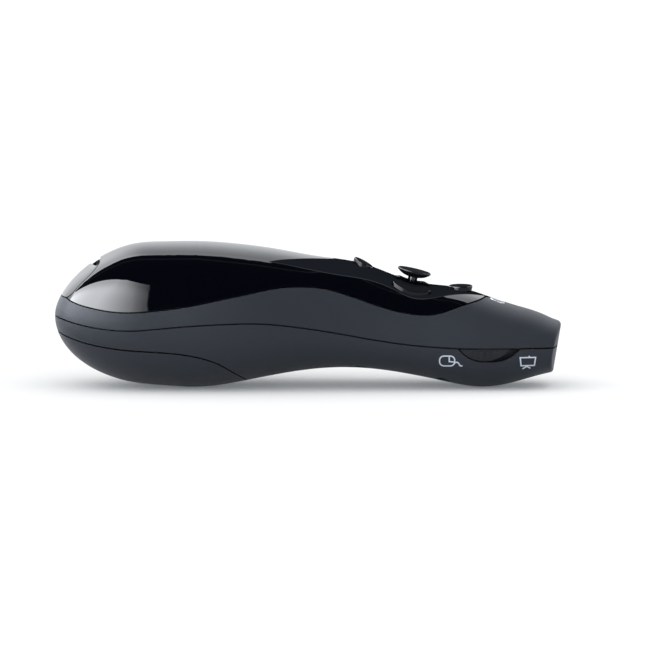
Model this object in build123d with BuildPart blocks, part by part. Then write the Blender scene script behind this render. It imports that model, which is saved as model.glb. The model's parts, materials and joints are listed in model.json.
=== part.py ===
"""Wireless presentation clicker with a mouse stick, four keys, a mode slider and a stowed USB receiver.

Millimetres. X runs from the tail (-X) to the laser nose (+X), Y across, Z up from the table.
The mode slider is on the -Y side. The origin is the middle of the footprint at table height.
"""
from math import cos, degrees, radians, sin, tan
import os

from build123d import *

# ---- Outer form: profiles along the length, each a list of (x, value) -----------------------------
TAIL_X = -67.5
NOSE_X = 67.4
TAIL_Z = 19.3
CREST = [(-43.5, 38.4), (-33, 38.8), (-22, 38.3), (-10, 36.9), (0, 35.1), (9, 33.8), (17.4, 31.9),
         (22.1, 29.9), (27.5, 28.1), (33, 27.1), (38, 26.6), (43.9, 25.3), (50, 23.2), (58, 20.7),
         (70, 16.6)]
KEEL = [(-37.5, 0.35), (-31, -0.12), (-22, 0.7), (-12, 2.6), (0, 4.6), (11, 5.2), (20, 4.5), (30, 2.8),
        (40, 0.7), (47.5, -0.12), (53, 0.7), (60, 2.6), (70, 5.3)]
HALF_WIDTH = [(-41.5, 20.6), (-30, 20.9), (-18, 20.3), (-5, 18.6), (8, 16.9), (20, 16.0), (32, 15.7),
              (45, 15.4), (55, 14.4), (62, 13.2), (70, 11.6)]
WIDEST_Z = [(-67.5, 17.5), (-30, 17.4), (-12, 17.6), (5, 15.5), (20, 13.4), (35, 11.8), (50, 11.0),
            (70, 10.6)]
# length and squareness of the tail's rounding: along the crest, along the keel and seen from above
CREST_ROUND, CREST_FULLNESS = 24.0, 1.65
KEEL_ROUND, KEEL_FULLNESS = 30.0, 2.05
PLAN_ROUND, PLAN_FULLNESS = 26.0, 2.2
SHOULDER = 0.60                                     # Bezier handle shares: higher is squarer
BILGE = 0.64
STATIONS = [0.08, 0.5, 1.3, 2.6, 4.5, 7, 10.5, 15, 21, 29, 39, 49, 59, 69, 76, 82, 88, 94, 100, 106, 112,
            118, 124, 130, 136]
NOSE_RADIUS, NOSE_HALF, NOSE_Z = 55.0, 30.0, 16.0   # bow of the nose face seen from above
NOSE_LEAN = 9.5                                     # its lean, in degrees
NOSE_EDGE = 1.0

# ---- Parting lines on the sides, as (x, z), extruded straight across ------------------------------
COVER_SEAM = [(-69, 26.6), (-65.4, 25.1), (-63.6, 24.1), (-58.6, 22.7), (-53.5, 21.9), (-48, 21.6),
              (-41.6, 22.0), (-34.8, 22.8), (-28, 24.0), (-21.2, 25.4), (-15.5, 26.5), (-11, 27.4),
              (-6, 28.0), (-1.4, 28.0), (3.4, 27.6), (8.3, 26.4), (13.1, 24.8), (18, 23.1), (22.8, 21.6),
              (26.1, 20.9), (30, 20.4), (34.7, 20.7), (40, 22.3), (46.2, 23.8), (50, 24.9)]
HOUSING_SEAM = [(-70, 19.9), (-67.5, 19.3), (-60.3, 17.9), (-51.8, 16.9), (-45, 16.9), (-38.2, 17.5),
                (-29.7, 18.2), (-21.2, 18.6), (-14.4, 18.7), (-5.3, 17.9), (8.3, 15.7), (18, 13.9),
                (24.5, 12.9), (33.2, 12.0), (40, 11.6), (53.5, 11.4), (72, 11.3)]
DOOR_SEAM = [(-70, 16.0), (-66.8, 15.1), (-62, 13.7), (-55.2, 12.3), (-45, 11.3), (-34.8, 10.6),
             (-28, 9.3), (-22.9, 7.2), (-19.5, 4.9), (-16.1, 2.2), (-14.6, 0.0), (-13.0, -4.0)]
SEAM_GAP = 0.4
DOOR_GAP = 0.4

# ---- Shell construction ----------------------------------------------------------------------------
WALL = 1.8
LIP_WALL = 1.0
LIP_RISE = 1.4
LIP_ROOT = 2.0
DECK_WALL = 0.8
RAIL_DECK_Z = 20.6
RAIL_DECK_REAR, RAIL_DECK_FRONT = -58.0, -13.0
KEY_DECK_Z = 15.0
KEY_DECK_REAR, KEY_DECK_FRONT = 12.5, 40.0
UPPER_BOSS = 3.0

# ---- Control panel and keys ------------------------------------------------------------------------
PANEL_SIDE = [(-9.8, 10.4), (3, 10.1), (12, 9.8), (17.5, 9.3), (22, 9.4), (27.5, 10.4), (32.5, 9.6), (37, 7.8),
              (42.5, 5.0)]
PANEL_TIP_X = 47.2
TONGUE_SIDE = [(-2.9, 6.6), (2.8, 3.4)]
TONGUE_TIP_X = 7.2
PANEL_BASE_Z = 21.0
HORN_STRETCH = 3.9
PANEL_GAP = 0.2
LEDGE = 1.2
STICK_X, STICK_Z = 27.7, 27.87
SLOPE = 13.0
KEY_GAP = 0.25
KEY_TRAVEL = 0.5
REAR_KEY_X, REAR_KEY_Z, REAR_KEY_SLOPE = 14.9, 33.25, 29.0
REAR_KEY_LENGTH, REAR_KEY_WIDTH = 5.5, 8.6
FRONT_KEY_X, FRONT_KEY_Z, FRONT_KEY_SLOPE = 40.8, 26.95, 0.0
FRONT_KEY_LENGTH, FRONT_KEY_WIDTH = 6.2, 7.8
SIDE_KEY_INNER, SIDE_KEY_OUTER, SIDE_KEY_SPREAD = 5.8, 9.5, 35.0
SIDE_POST_RADIUS = 7.3
SIDE_KEY_RISE = 0.75                               # above the outer form, which its crown follows
WELL_DEPTH, WELL_WALL, WELL_JOIN = 1.4, 0.9, 0.9    # the sunk round floor between the side keys
CRESCENT_CORNER = 0.9
LEDGE_RELIEF = 0.4
SIDE_KEY_BEVEL = 0.35
KEY_EDGE = 0.35
DISH_RADIUS, DISH_DEPTH = 14.0, 0.3
FLANGE = 0.7
FLANGE_WALL = 0.8
POST_RADIUS = 0.9
POST_ENTRY = 0.4
REAR_KEY_FLANGE, FRONT_KEY_FLANGE, SIDE_KEY_FLANGE = 1.5, 1.6, 2.9   # depths below the stick's panel level

# ---- Mouse stick ------------------------------------------------------------------------------------
STICK_TILT = 10.0
PIVOT_DEPTH = 4.0
CAP_RADIUS = 4.5
CAP_TOP = 3.3
CAP_RIM = 0.7
CAP_BOWL = 1.2
CAP_DISH, CAP_EDGE, CAP_COLLAR, CAP_SOCKET_ROOF = 0.25, 0.35, 0.5, 1.1
STEM_RADIUS = 1.3
STEM_CLEARANCE = 0.8
GIMBAL_OUTER, GIMBAL_INNER, GIMBAL_WALL = 3.4, 2.3, 1.4
PIN_RADIUS = 0.45
PIN_CLEARANCE = 0.05
BASE_OUTER, BASE_INNER, BASE_HEIGHT = 4.8, 3.9, 3.4
HUB_RADIUS = 1.5

# ---- Circuit boards and their parts ----------------------------------------------------------------
KEY_BOARD_DEPTH = 6.0
KEY_BOARD_WALL = 1.0
KEY_BOARD_REAR, KEY_BOARD_FRONT, KEY_BOARD_HALF = -19.0, 16.0, 9.0
SWITCH_SIDE, SWITCH_HEIGHT, SWITCH_CLEARANCE = 3.6, 1.5, 0.2
SWITCH_BORE_DEPTH = POST_ENTRY + KEY_TRAVEL + SWITCH_CLEARANCE
DOME_RADIUS, DOME_RISE = 1.0, 0.15
BOARD_Z, BOARD_WALL = 13.6, 1.2
BOARD_REAR, BOARD_FRONT, BOARD_HALF = -8.5, 53.0, 10.0
BOARD_CORNER, SWITCH_CORNER = 1.5, 0.4
# x, y, length, width, height and corner radius of each block on the main board
CONTROLLER = (0.5, -4.0, 7.0, 7.0, 1.0, 0.2)
RADIO = (1.5, 5.0, 9.0, 7.5, 1.8, 0.5)
LED = (50.7, 0.0, 1.6, 1.2, 0.7, 0.2)
RIBBON_BEND, RIBBON_WALL, RIBBON_HALF, RIBBON_GRIP, RIBBON_REACH = 0.8, 0.2, 4.0, 1.6, 1.8

# ---- Battery bay -----------------------------------------------------------------------------------
CELL_RADIUS, CELL_LENGTH, CELL_NUB_RADIUS, CELL_NUB = 5.25, 44.5, 1.9, 0.9
CELL_Y, CELL_Z = 5.6, 13.9
SPRING_LENGTH, SPRING_WIRE, SPRING_RADIUS, SPRING_TURNS = 2.8, 0.35, 2.9, 2.5
BAY_REAR = -59.8
CONTACT_WALL, CONTACT_HALF = 0.4, 3.4
TRAY_FOOT = 1.2
TRAY_WALL, TRAY_HALF, TRAY_BOTTOM = 1.0, 12.4, 9.5
TRAY_RIBS, TRAY_RIB_Z = [-52, -16], 12.6
REAR_BOSS_Z = 15.6
LATCH_HALF = 4.0
LATCH_PROFILE = [(-26, 1.2), (-21.5, 1.2), (-21.5, 4.6), (-12.2, 4.6), (-12.2, 5.4), (-22.5, 5.4), (-26, 3.0)]

# ---- Stowed USB receiver ---------------------------------------------------------------------------
RECEIVER_HALF, RECEIVER_FLOOR, RECEIVER_TOP = 9.6, 24.6, 34.6
RECEIVER_GAP = 0.3
CAP_FRONT = -55.6
CAP_CORNER = 2.0
CAP_SHOULDER = 4.0                                  # corner radius of the cap's front end seen from above
CASE_FRONT = -33.0
CASE_HALF, CASE_TOP, CASE_WALL, CASE_EDGE = 7.2, 31.0, 0.9, 0.8
PASSAGE, PASSAGE_LEAD = 8.0, 1.0
CRADLE_FRONT_GAP, CRADLE_WALL, CRADLE_HALF, CRADLE_TOP, CRADLE_REAR = 0.4, 1.0, 8.6, 28.6, -51.0
RECEIVER_BOARD_HALF, RECEIVER_BOARD_WALL, TONGUE_WALL = 6.0, 0.8, 1.9
STRIP_PITCH, STRIP_WIDTH, STRIP_WALL, STRIP_END = 2.3, 1.0, 0.15, 1.0
RECEIVER_CHIP, RECEIVER_CHIP_WALL = 5.0, 0.9
PLUG_LENGTH, PLUG_ROOT, PLUG_WIDTH, PLUG_HEIGHT, PLUG_WALL = 13.0, 3.0, 12.0, 4.5, 0.35
NOTCH_X, NOTCH_FLOOR, NOTCH_RADIUS, NOTCH_HALF = -57.15, 31.9, 1.7, 7.0

# ---- Mode slider on the -Y side --------------------------------------------------------------------
SLIDER_REAR, SLIDER_CHORD, SLIDER_DEPTH, SLIDER_TRAVEL = 40.3, 13.2, 3.2, 2.5
SLIDER_Z = 11.3
SLIDER_GAP = 0.3
SLIDER_FACE = 0.5
SLIDER_RIBS, SLIDER_PITCH, SLIDER_RIB = 4, 1.7, 0.8
SLIDER_BACK_Y, SLIDER_FLANGE = -11.4, 0.8
SLIDER_PEG, SLIDER_PEG_Z, SLIDER_PEG_DEPTH, DETENT_GAP = 1.2, 10.3, 1.6, 0.3
SLIDER_RUN, SLIDER_HOLD = 0.6, 0.9
SLIDE_SWITCH_FACE_Y, SLIDE_SWITCH_LENGTH, SLIDE_SWITCH_WIDTH, SLIDE_SWITCH_HEIGHT = -11.0, 9.0, 3.9, 4.8

# ---- Laser and indicator ---------------------------------------------------------------------------
LASER_Z = 9.7
LASER_RADIUS, LASER_REAR, LASER_FRONT = 3.2, 51.0, 63.0
LASER_BORE, DIODE_FLANGE, DIODE_RADIUS, DIODE_LENGTH = 2.5, 1.2, 1.7, 3.0
DIODE_PIN, DIODE_PIN_LENGTH, DIODE_PIN_RING, DIODE_PINS = 0.22, 2.5, 1.1, 3
LENS_X, LENS_BULGE, LENS_EDGE = 59.5, 8.0, 0.5
WINDOW_WALL = 1.0
APERTURE_RADIUS, BEZEL_WALL = 2.2, 0.9
SADDLES, SADDLE_LENGTH = [54, 60], 1.6
LAMP_X, LAMP_LENGTH, LAMP_WIDTH = 50.5, 4.2, 6.4
LAMP_EDGE = 0.3
LIGHT_PIPE_RADIUS, LIGHT_PIPE_GAP = 1.3, 0.3

# ---- Screws ----------------------------------------------------------------------------------------
BOSS_RADIUS, SCREW_RADIUS, SCREW_HEAD_RADIUS, SCREW_HEAD = 2.9, 0.9, 1.7, 1.2
SCREW_LENGTH = 9.5
FRONT_SCREWS, FRONT_SEAT_Z = [(14, 7.0), (36, 7.4)], 8.1
REAR_SCREW, REAR_SEAT_Z = (-36, 16.1), 11.9
PANEL_SCREWS, PANEL_SCREW_LENGTH = [(-8.5, 6.2), (7.0, 6.0)], 2.6
PANEL_BOSS_RADIUS, PANEL_SCREW_RADIUS, PANEL_SCREW_HEAD_RADIUS, PANEL_SCREW_HEAD = 1.5, 0.7, 1.3, 0.8
PANEL_BOSS_TOP = 1.3

os.makedirs("parts", exist_ok=True)
FAR = 80.0


def sloped(x, z, angle):
    """A plane through (x, z) on the centre line that falls towards the nose at the angle in degrees."""
    tilt = radians(angle)
    return Plane((x, 0, z), x_dir=(cos(tilt), 0, -sin(tilt)), z_dir=(sin(tilt), 0, cos(tilt)))


def smooth(points):
    """Return a function that runs smoothly through the (x, value) points."""
    xs = [p[0] for p in points]
    ys = [p[1] for p in points]
    last = len(xs) - 1
    steps = [(ys[i + 1] - ys[i]) / (xs[i + 1] - xs[i]) for i in range(last)]
    slopes = [steps[0]]
    for i in range(1, last):
        before, after = xs[i] - xs[i - 1], xs[i + 1] - xs[i]
        slopes.append((steps[i - 1] * after + steps[i] * before) / (before + after))
    slopes.append(steps[-1])

    def value(x):
        x = min(max(x, xs[0]), xs[-1])
        i = max(k for k in range(last) if xs[k] <= x)
        width = xs[i + 1] - xs[i]
        t = (x - xs[i]) / width
        start = (1 + 2 * t) * (1 - t) ** 2 * ys[i] + t * (1 - t) ** 2 * width * slopes[i]
        end = t * t * (3 - 2 * t) * ys[i + 1] + t * t * (t - 1) * width * slopes[i + 1]
        return start + end

    return value


crest_at, keel_at, width_at, widest_at = map(smooth, (CREST, KEEL, HALF_WIDTH, WIDEST_Z))


def form_at(x, inset=0.0):
    """Crest height, keel height, half-width and height of the widest line at x, drawn in by the inset."""
    def rounded(full, length, fullness):
        t = min(1.0, max(0.0, (x - TAIL_X - inset) / (length - inset)))
        return full * (1 - (1 - t) ** fullness) ** (1 / fullness)

    crest = TAIL_Z + rounded(crest_at(x) - inset - TAIL_Z, CREST_ROUND, CREST_FULLNESS)
    keel = TAIL_Z + rounded(keel_at(x) + inset - TAIL_Z, KEEL_ROUND, KEEL_FULLNESS)
    half = rounded(width_at(x) - inset, PLAN_ROUND, PLAN_FULLNESS)
    widest = TAIL_Z + rounded(widest_at(x) - TAIL_Z, KEEL_ROUND, KEEL_FULLNESS)
    return crest, keel, half, widest


def body_form(inset):
    """The body's outer form drawn in by the inset: a loft along X, cut by the leaning, bowed nose face."""
    with BuildPart() as solid:
        for step in STATIONS:
            x = TAIL_X + inset + step
            crest, keel, half, widest = form_at(x, inset)
            shoulder = widest + SHOULDER * (crest - widest)
            bilge = widest - BILGE * (widest - keel)
            with BuildSketch(Plane.YZ.offset(x)):
                with BuildLine():
                    Bezier((0, crest), (SHOULDER * half, crest), (half, shoulder), (half, widest))
                    Bezier((half, widest), (half, bilge), (BILGE * half, keel), (0, keel))
                    mirror(about=Plane.YZ)
                make_face()
        loft()
        face = sloped(NOSE_X - inset, NOSE_Z, NOSE_LEAN)
        edge_x = (NOSE_RADIUS ** 2 - NOSE_HALF ** 2) ** 0.5 - NOSE_RADIUS
        with BuildSketch(face):
            with BuildLine():
                ThreePointArc((edge_x, -NOSE_HALF), (0, 0), (edge_x, NOSE_HALF))
                Polyline((edge_x, NOSE_HALF), (-2 * FAR, NOSE_HALF), (-2 * FAR, -NOSE_HALF),
                         (edge_x, -NOSE_HALF))
            make_face()
        extrude(amount=FAR, both=True, mode=Mode.INTERSECT)
    return solid.part


def above(seam, lift):
    """Everything above a parting line, as a block straight across, with the line raised by the lift."""
    with BuildPart() as block:
        with BuildSketch(Plane.XZ):
            with BuildLine():
                line = Spline([(x, z + lift) for x, z in seam])
                Polyline(line @ 1, (seam[-1][0], FAR), (seam[0][0], FAR), line @ 0)
            make_face()
        extrude(amount=FAR / 2, both=True)
    return block.part


outer = body_form(0.0)
cavity = body_form(WALL)
liner = body_form(WALL + LIP_WALL)

with BuildPart() as hull:
    add(outer)
    fillet(hull.faces().sort_by(Axis.X)[-1].edges(), NOSE_EDGE)
    split(bisect_by=Plane.XY, keep=Keep.TOP)

with BuildPart() as shell:
    add(hull.part)
    add(cavity, mode=Mode.SUBTRACT)

with BuildPart() as inner_ring:
    add(cavity)
    add(liner, mode=Mode.SUBTRACT)


def below(seam, lift):
    """Everything below a parting line, as a block straight across, with the line raised by the lift."""
    with BuildPart() as block:
        with BuildSketch(Plane.XZ):
            with BuildLine():
                line = Spline([(x, z + lift) for x, z in seam])
                Polyline(line @ 1, (seam[-1][0], -FAR), (seam[0][0], -FAR), line @ 0)
            make_face()
        extrude(amount=FAR / 2, both=True)
    return block.part


def lip(seam, lowest, highest):
    """A ring inside the shells that bridges a parting line from lowest to highest about it."""
    with BuildPart() as ring:
        add(inner_ring.part)
        add(above(seam, lowest), mode=Mode.INTERSECT)
        add(above(seam, highest), mode=Mode.SUBTRACT)
    return ring.part


def panel_block(grow):
    """The control panel's plan outline, grown all round, as an upright block over the panel."""
    horn_x, horn_y = PANEL_SIDE[0]
    horn = (horn_x - HORN_STRETCH * grow, horn_y + grow)
    side = [horn] + [(x, y + grow) for x, y in PANEL_SIDE[1:]] + [(PANEL_TIP_X + grow, 0)]
    tongue = [horn] + [(x - grow / 2, y - grow) for x, y in TONGUE_SIDE] + [(TONGUE_TIP_X - grow, 0)]
    with BuildPart() as block:
        with BuildSketch(Plane.XY.offset(PANEL_BASE_Z)):
            with BuildLine():
                Spline(side + [(x, -y) for x, y in reversed(side[:-1])])
                Spline(tongue + [(x, -y) for x, y in reversed(tongue[:-1])])
            make_face()
        extrude(amount=FAR)
    return block.part


# The stick and keys stand square to this plane, which lies on the panel at the stick and slopes to the nose.
control = sloped(STICK_X, STICK_Z, SLOPE)
rear_crown = sloped(REAR_KEY_X, REAR_KEY_Z, REAR_KEY_SLOPE)
front_crown = sloped(FRONT_KEY_X, FRONT_KEY_Z, FRONT_KEY_SLOPE)
pivot = control.offset(-PIVOT_DEPTH)
key_board_plane = control.offset(-KEY_BOARD_DEPTH)
switch_top = SWITCH_HEIGHT - KEY_BOARD_DEPTH


def along_panel(x, z):
    """Distance along the control plane, from the stick, of the point (x, z) on the centre line."""
    slope = radians(SLOPE)
    return (x - STICK_X) * cos(slope) - (z - STICK_Z) * sin(slope)


def oval(place, length, width, grow, level=0.0):
    """An oval key's outline at a level above the control plane."""
    with BuildSketch(control.offset(level)) as outline:
        with Locations((place, 0)):
            Ellipse(length / 2 + grow, width / 2 + grow)
    return outline.sketch


def crescent(side, inner, outer, grow, level=0.0):
    """A side key's outline: a piece of ring about the stick, on the side given as -1 or 1."""
    spread = SIDE_KEY_SPREAD + degrees(grow / outer)
    with BuildSketch(control.offset(level)) as outline:
        with BuildLine():
            far_arc = CenterArc((0, 0), outer + grow, side * 90 - spread, 2 * spread)
            near_arc = CenterArc((0, 0), inner - grow, side * 90 - spread, 2 * spread)
            Line(far_arc @ 0, near_arc @ 0)
            Line(far_arc @ 1, near_arc @ 1)
        make_face()
        fillet(outline.vertices(), CRESCENT_CORNER)
    return outline.sketch


rear_key_place = along_panel(REAR_KEY_X, REAR_KEY_Z)
front_key_place = along_panel(FRONT_KEY_X, FRONT_KEY_Z)
well_radius = SIDE_KEY_INNER - KEY_GAP
switch_places = [(rear_key_place, 0), (front_key_place, 0), (0, -SIDE_POST_RADIUS), (0, SIDE_POST_RADIUS)]


def key_outlines(grow):
    return [oval(rear_key_place, REAR_KEY_LENGTH, REAR_KEY_WIDTH, grow),
            oval(front_key_place, FRONT_KEY_LENGTH, FRONT_KEY_WIDTH, grow),
            crescent(-1, SIDE_KEY_INNER, SIDE_KEY_OUTER, grow),
            crescent(1, SIDE_KEY_INNER, SIDE_KEY_OUTER, grow)]


def finish(block, label):
    """Label a finished piece and write it out."""
    block.part.label = label
    export_step(block.part, f"parts/{label}.step")


def both_sides(places):
    """Each (x, y) place and its mirror image across the centre line."""
    return [(x, side * y) for x, y in places for side in (-1, 1)]


slider_back = Plane.XZ.offset(-SLIDER_BACK_Y)
slider_middle = SLIDER_REAR + SLIDER_CHORD / 2


def segment(reach, grow):
    """The mode slider's face: a round-bottomed flap, moved along by reach and grown all round."""
    radius = (SLIDER_CHORD ** 2 / 4 + SLIDER_DEPTH ** 2) / (2 * SLIDER_DEPTH)
    middle = slider_middle + reach
    with BuildSketch(slider_back) as face:
        with Locations((middle, SLIDER_Z - SLIDER_DEPTH + radius)):
            Circle(radius + grow)
        with Locations((middle, SLIDER_Z + grow)):
            Rectangle(4 * radius, 4 * radius, align=(Align.CENTER, Align.MIN), mode=Mode.SUBTRACT)
    return face.sketch


# ---- Shells ------------------------------------------------------------------------------------------
def cap_block(grow):
    """The receiver cap's block, grown all round: rounded from behind and, at its front end, from above."""
    with BuildPart() as block:
        with BuildSketch(Plane.YZ.offset(CAP_FRONT + grow)):
            with Locations((0, (RECEIVER_FLOOR + RECEIVER_TOP) / 2)):
                RectangleRounded(2 * (RECEIVER_HALF + grow), RECEIVER_TOP - RECEIVER_FLOOR + 2 * grow,
                                 CAP_CORNER)
        extrude(amount=-FAR)
        with BuildSketch(Plane.XY):
            with Locations((CAP_FRONT + grow, 0)):
                RectangleRounded(2 * FAR, 2 * (RECEIVER_HALF + grow), CAP_SHOULDER + grow,
                                 align=(Align.MAX, Align.CENTER))
        extrude(amount=FAR, mode=Mode.INTERSECT)
    return block.part


with BuildPart() as receiver_bay:
    add(cap_block(RECEIVER_GAP))
    with BuildSketch(Plane.YZ.offset(CAP_FRONT - PASSAGE_LEAD)):
        with Locations((0, (RECEIVER_FLOOR + CASE_TOP) / 2)):
            RectangleRounded(2 * (CASE_HALF + RECEIVER_GAP),
                             CASE_TOP - RECEIVER_FLOOR + 2 * RECEIVER_GAP, CASE_EDGE + RECEIVER_GAP)
    extrude(amount=PASSAGE_LEAD + PASSAGE)

with BuildPart() as nail_notch:
    with BuildSketch(Plane.XZ):
        with Locations((NOTCH_X, NOTCH_FLOOR + NOTCH_RADIUS)):
            Circle(NOTCH_RADIUS)
    extrude(amount=NOTCH_HALF, both=True)

with BuildPart() as ledge:
    add(inner_ring.part)
    add(panel_block(LEDGE), mode=Mode.INTERSECT)
    add(panel_block(-LEDGE), mode=Mode.SUBTRACT)
    with BuildSketch(control):
        Circle(SIDE_KEY_OUTER + KEY_GAP + LEDGE_RELIEF)
    extrude(amount=FAR / 4, both=True, mode=Mode.SUBTRACT)

with BuildPart() as top_cover:
    add(shell.part)
    add(above(COVER_SEAM, SEAM_GAP / 2), mode=Mode.INTERSECT)
    add(panel_block(PANEL_GAP), mode=Mode.SUBTRACT)
    add(ledge.part)
    add(receiver_bay.part, mode=Mode.SUBTRACT)
    add(nail_notch.part, mode=Mode.SUBTRACT)
finish(top_cover, "top_cover")

with BuildPart() as lamp_hole:
    with BuildSketch(Plane.XY.offset(LASER_Z)):
        with Locations((LAMP_X, 0)):
            Ellipse(LAMP_LENGTH / 2 + PANEL_GAP, LAMP_WIDTH / 2 + PANEL_GAP)
    extrude(amount=FAR)

with BuildPart() as nose_hole:
    with BuildSketch(Plane.YZ.offset(LASER_FRONT)):
        with Locations((0, LASER_Z)):
            Circle(APERTURE_RADIUS + BEZEL_WALL)
    extrude(amount=FAR)

with BuildPart() as slider_window:
    with BuildSketch(slider_back.offset(-SLIDER_FLANGE)):
        with Locations((slider_middle + SLIDER_TRAVEL / 2, SLIDER_Z)):
            Rectangle(SLIDER_CHORD + 4 * SLIDER_TRAVEL, 2 * SLIDER_DEPTH, align=(Align.CENTER, Align.MAX))
    extrude(amount=FAR)

with BuildPart() as slider_opening:
    extrude(segment(0, SLIDER_GAP), amount=FAR)
    extrude(segment(SLIDER_TRAVEL, SLIDER_GAP), amount=FAR)
    with BuildSketch(slider_back):
        with Locations((slider_middle + SLIDER_TRAVEL / 2, SLIDER_Z - SLIDER_DEPTH - SLIDER_GAP)):
            Rectangle(SLIDER_TRAVEL, SLIDER_DEPTH, align=(Align.CENTER, Align.MIN))
    extrude(amount=FAR)

with BuildPart() as upper_bosses:
    with BuildSketch(Plane.XY.offset(BOARD_Z + BOARD_WALL)):
        with Locations(*both_sides(FRONT_SCREWS)):
            Circle(BOSS_RADIUS)
    extrude(amount=UPPER_BOSS)
    with BuildSketch(Plane.XY.offset(REAR_BOSS_Z)):
        with Locations(*both_sides([REAR_SCREW])):
            Circle(BOSS_RADIUS)
    extrude(amount=RAIL_DECK_Z - REAR_BOSS_Z)
    with BuildSketch(Plane.XY.offset(KEY_DECK_Z)):
        with Locations(((KEY_DECK_REAR + KEY_DECK_FRONT) / 2, 0)):
            Rectangle(KEY_DECK_FRONT - KEY_DECK_REAR, FAR)
    extrude(amount=DECK_WALL)
    with BuildSketch(Plane.XY.offset(RAIL_DECK_Z)):
        with Locations(((RAIL_DECK_REAR + RAIL_DECK_FRONT) / 2, 0)):
            Rectangle(RAIL_DECK_FRONT - RAIL_DECK_REAR, FAR)
    extrude(amount=DECK_WALL)
    add(cavity, mode=Mode.INTERSECT)
    add(lip(HOUSING_SEAM, -FAR / 2, 0), mode=Mode.SUBTRACT)
    with BuildSketch(Plane.XY.offset(REAR_SEAT_Z)):
        with Locations(*both_sides(FRONT_SCREWS + [REAR_SCREW])):
            Circle(SCREW_RADIUS)
    extrude(amount=SCREW_LENGTH, mode=Mode.SUBTRACT)

with BuildPart() as upper_housing:
    add(shell.part)
    add(above(COVER_SEAM, -SEAM_GAP / 2), mode=Mode.SUBTRACT)
    add(above(HOUSING_SEAM, SEAM_GAP / 2), mode=Mode.INTERSECT)
    add(lip(COVER_SEAM, -LIP_ROOT, LIP_RISE))
    add(panel_block(LEDGE + PANEL_GAP), mode=Mode.SUBTRACT)
    add(lip(HOUSING_SEAM, -LIP_RISE, LIP_ROOT))
    add(upper_bosses.part)
    add(slider_window.part, mode=Mode.SUBTRACT)
    add(lamp_hole.part, mode=Mode.SUBTRACT)
    add(receiver_bay.part, mode=Mode.SUBTRACT)
    add(nose_hole.part, mode=Mode.SUBTRACT)
finish(upper_housing, "upper_housing")

with BuildPart() as lower_inside:
    with BuildSketch(Plane.XY):
        with Locations(*both_sides(FRONT_SCREWS)):
            Circle(BOSS_RADIUS)
    extrude(amount=BOARD_Z)
    with BuildSketch(Plane.XY.offset(REAR_SEAT_Z)):
        with Locations(*both_sides([REAR_SCREW])):
            Circle(BOSS_RADIUS)
    extrude(amount=REAR_BOSS_Z - REAR_SEAT_Z - SEAM_GAP)
    with BuildSketch(Plane.XY):
        with Locations(*[(x, 0) for x in SADDLES]):
            Rectangle(SADDLE_LENGTH, 2 * (LASER_RADIUS + LIP_WALL))
    extrude(amount=LASER_Z)
    with BuildSketch(Plane.XY.offset(TRAY_RIB_Z)):
        with Locations(*[(x, 0) for x in TRAY_RIBS]):
            Rectangle(LIP_WALL, FAR)
    extrude(amount=REAR_BOSS_Z - TRAY_RIB_Z - LIP_RISE)
    add(cavity, mode=Mode.INTERSECT)
    add(lip(HOUSING_SEAM, -LIP_RISE - SEAM_GAP, FAR / 2), mode=Mode.SUBTRACT)
    with BuildSketch(Plane.YZ.offset(BAY_REAR)):
        with Locations((0, LASER_Z)):
            Rectangle(2 * TRAY_HALF, FAR)
    extrude(amount=-BAY_REAR, mode=Mode.SUBTRACT)
    with BuildSketch(Plane.YZ.offset(LASER_REAR)):
        with Locations((0, LASER_Z)):
            Circle(LASER_RADIUS)
    extrude(amount=FAR, mode=Mode.SUBTRACT)

with BuildPart() as lower_housing:
    add(shell.part)
    add(above(HOUSING_SEAM, -SEAM_GAP / 2), mode=Mode.SUBTRACT)
    add(below(DOOR_SEAM, DOOR_GAP / 2), mode=Mode.SUBTRACT)
    add(lower_inside.part)
    with BuildSketch(Plane.XY):
        with Locations(*both_sides(FRONT_SCREWS)):
            Circle(SCREW_HEAD_RADIUS + SWITCH_CLEARANCE)
    extrude(amount=FRONT_SEAT_Z, mode=Mode.SUBTRACT)
    with BuildSketch(Plane.XY):
        with Locations(*both_sides([REAR_SCREW])):
            Circle(SCREW_HEAD_RADIUS + SWITCH_CLEARANCE)
    extrude(amount=REAR_SEAT_Z, mode=Mode.SUBTRACT)
    with BuildSketch(Plane.XY):
        with Locations(*both_sides(FRONT_SCREWS + [REAR_SCREW])):
            Circle(SCREW_RADIUS)
    extrude(amount=FAR, mode=Mode.SUBTRACT)
    add(slider_opening.part, mode=Mode.SUBTRACT)
    add(nose_hole.part, mode=Mode.SUBTRACT)
finish(lower_housing, "lower_housing")

with BuildPart() as battery_door:
    add(shell.part)
    add(below(DOOR_SEAM, -DOOR_GAP / 2), mode=Mode.INTERSECT)
    with BuildSketch(Plane.XZ):
        with BuildLine():
            Polyline(*LATCH_PROFILE, close=True)
        make_face()
    extrude(amount=LATCH_HALF, both=True)
finish(battery_door, "battery_door")

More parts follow.
